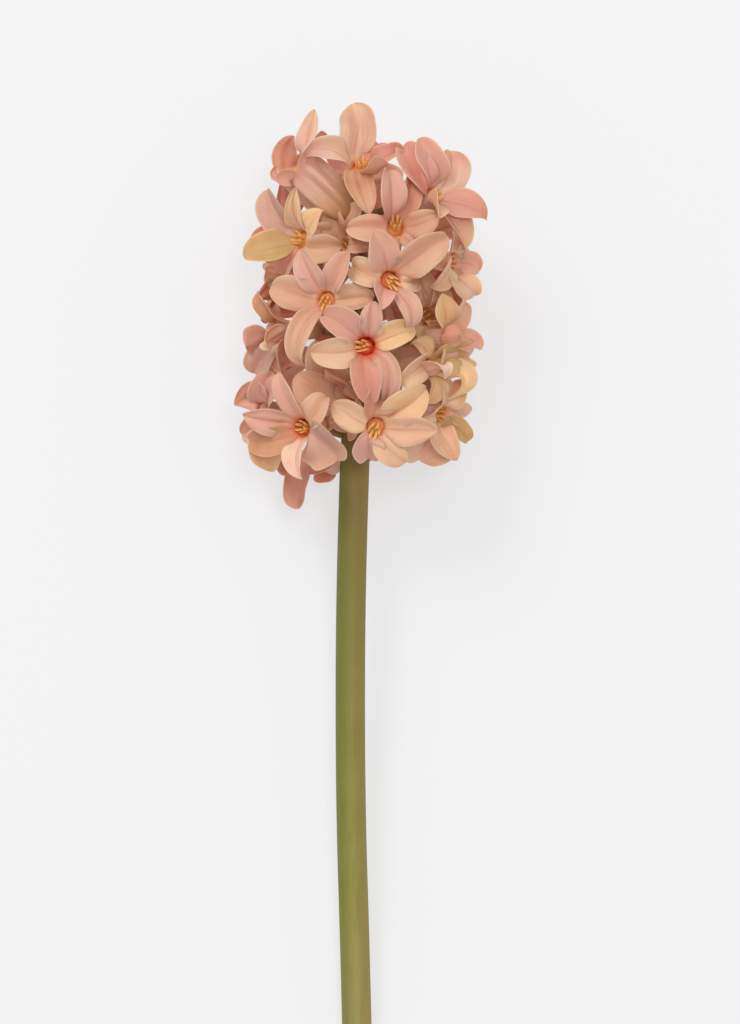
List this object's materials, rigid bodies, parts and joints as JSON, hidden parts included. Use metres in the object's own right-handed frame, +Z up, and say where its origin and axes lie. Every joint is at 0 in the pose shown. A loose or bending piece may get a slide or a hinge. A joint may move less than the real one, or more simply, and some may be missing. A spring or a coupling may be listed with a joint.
{
  "type": "hyacinth flower",
  "caption": "Cut hyacinth spike lying on its side: a green stem with a dense head of peach and orange starry florets.",
  "frame": {"origin": "on the surface that the flower lies on, below the middle of its bounding box", "axes": "+Z up; +Y along the stem from its cut end toward the top of the head; +X across the flower"},
  "size_m": [0.0746, 0.2704, 0.0591],
  "materials": {
    "petal": "waxy satin",
    "anther": "matt",
    "stem": "satin"
  },
  "bodies": {
    "root": {"floret_01": "petal", "floret_02": "petal", "floret_03": "petal", "floret_04": "petal", "floret_05": "petal", "floret_06": "petal", "floret_07": "petal", "floret_08": "petal", "floret_09": "petal", "floret_10": "petal", "floret_11": "petal", "floret_12": "petal", "floret_13": "petal", "floret_14": "petal", "floret_15": "petal", "floret_16": "petal", "floret_17": "petal", "floret_18": "petal", "floret_19": "petal", "floret_20": "petal", "floret_21": "petal", "floret_22": "petal", "floret_23": "petal", "floret_24": "petal", "floret_25": "petal", "floret_26": "petal", "floret_27": "petal", "floret_28": "petal", "floret_29": "petal", "floret_30": "petal", "floret_31": "petal", "floret_32": "petal", "floret_33": "petal", "stamens_01": "anther", "stamens_02": "anther", "stamens_03": "anther", "stamens_04": "anther", "stamens_05": "anther", "stamens_06": "anther", "stamens_07": "anther", "stamens_08": "anther", "stamens_09": "anther", "stamens_10": "anther", "stamens_11": "anther", "stamens_12": "anther", "stamens_13": "anther", "stamens_14": "anther", "stamens_15": "anther", "stamens_16": "anther", "stamens_17": "anther", "stamens_18": "anther", "stamens_19": "anther", "stamens_20": "anther", "stamens_21": "anther", "stamens_22": "anther", "stamens_23": "anther", "stamens_24": "anther", "stamens_25": "anther", "stamens_26": "anther", "stem": "stem"}
  },
  "joints": []
}
